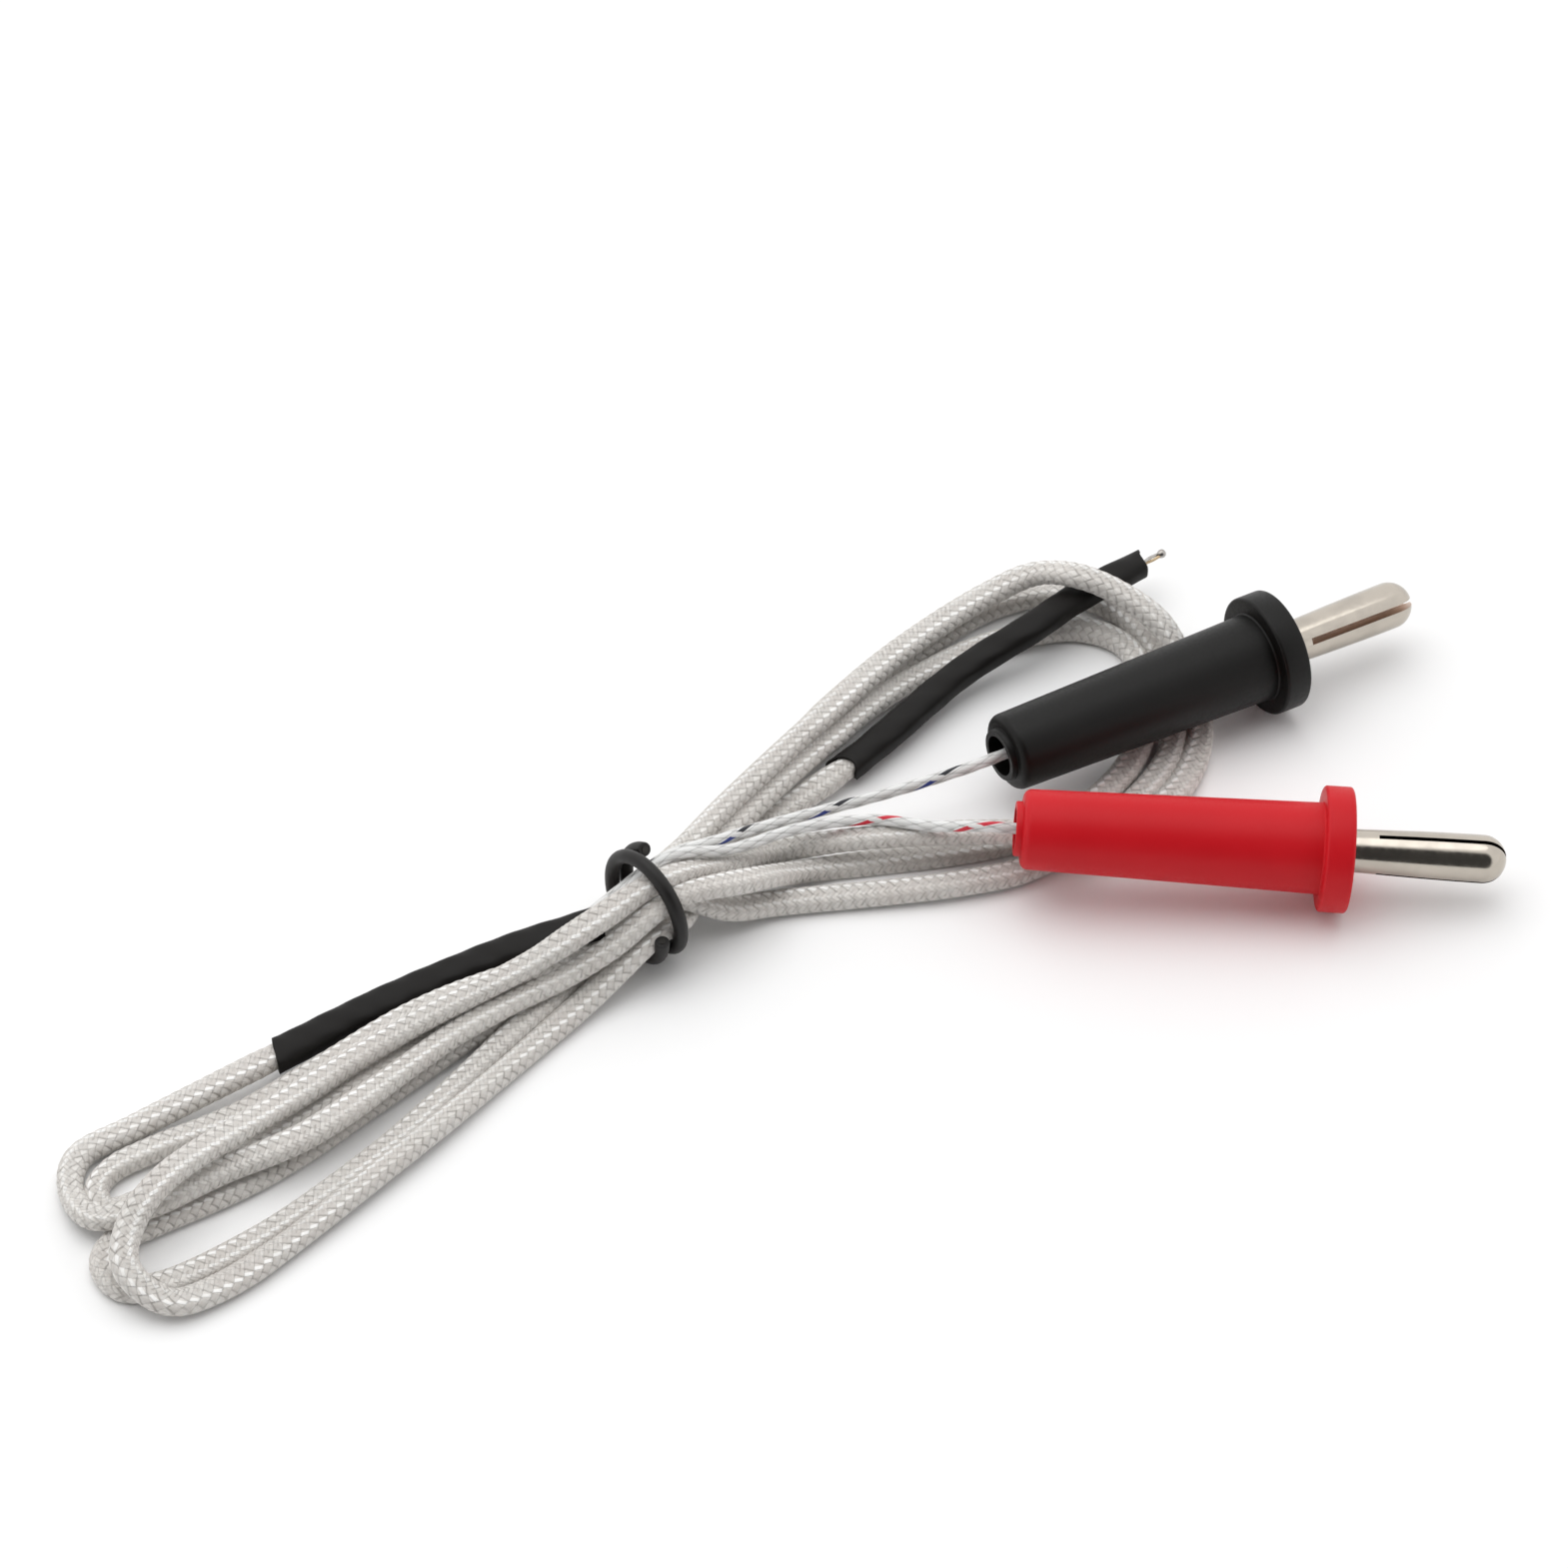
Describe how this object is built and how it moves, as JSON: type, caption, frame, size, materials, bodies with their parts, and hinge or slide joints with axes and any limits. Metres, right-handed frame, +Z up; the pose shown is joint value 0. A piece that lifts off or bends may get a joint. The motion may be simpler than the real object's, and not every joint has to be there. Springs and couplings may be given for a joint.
{
  "type": "thermocouple test lead",
  "caption": "Braided thermocouple lead in a tied hank, with a bare weld-bead tip at one end and a black and a red 4 mm slotted plug at the other.",
  "frame": {"origin": "on the surface that the hank lies on, under the middle of the box round the plugs, sleeves, tie and bead", "axes": "+Z up; +X from the looped end towards the plugs' pins; +Y away from the viewer"},
  "size_m": [0.1229, 0.089, 0.0113],
  "materials": {
    "braid": "white glass-fibre braid, slight sheen",
    "sleeve": "matte heat-shrunk sleeve",
    "chromel": "bare thermocouple wire, slightly golden",
    "alumel": "bare thermocouple wire, grey",
    "bead": "weld bead",
    "black_housing": "satin moulded black",
    "red_housing": "satin moulded red",
    "nickel": "nickel-plated brass",
    "tie_rubber": "satin black rubber coat",
    "tie_steel": "cut steel wire"
  },
  "bodies": {
    "root": {"cable": "braid", "black_lead": "braid", "red_lead": "braid", "tip_sleeve": "sleeve", "split_sleeve": "sleeve", "bare_wire_1": "chromel", "bare_wire_2": "alumel", "weld_bead": "bead", "black_plug_housing": "black_housing", "red_plug_housing": "red_housing", "black_plug_pin": "nickel", "red_plug_pin": "nickel", "black_lead_conductor": "alumel", "red_lead_conductor": "chromel", "tie_coat": "tie_rubber", "tie_wire_core": "tie_steel"}
  },
  "joints": []
}
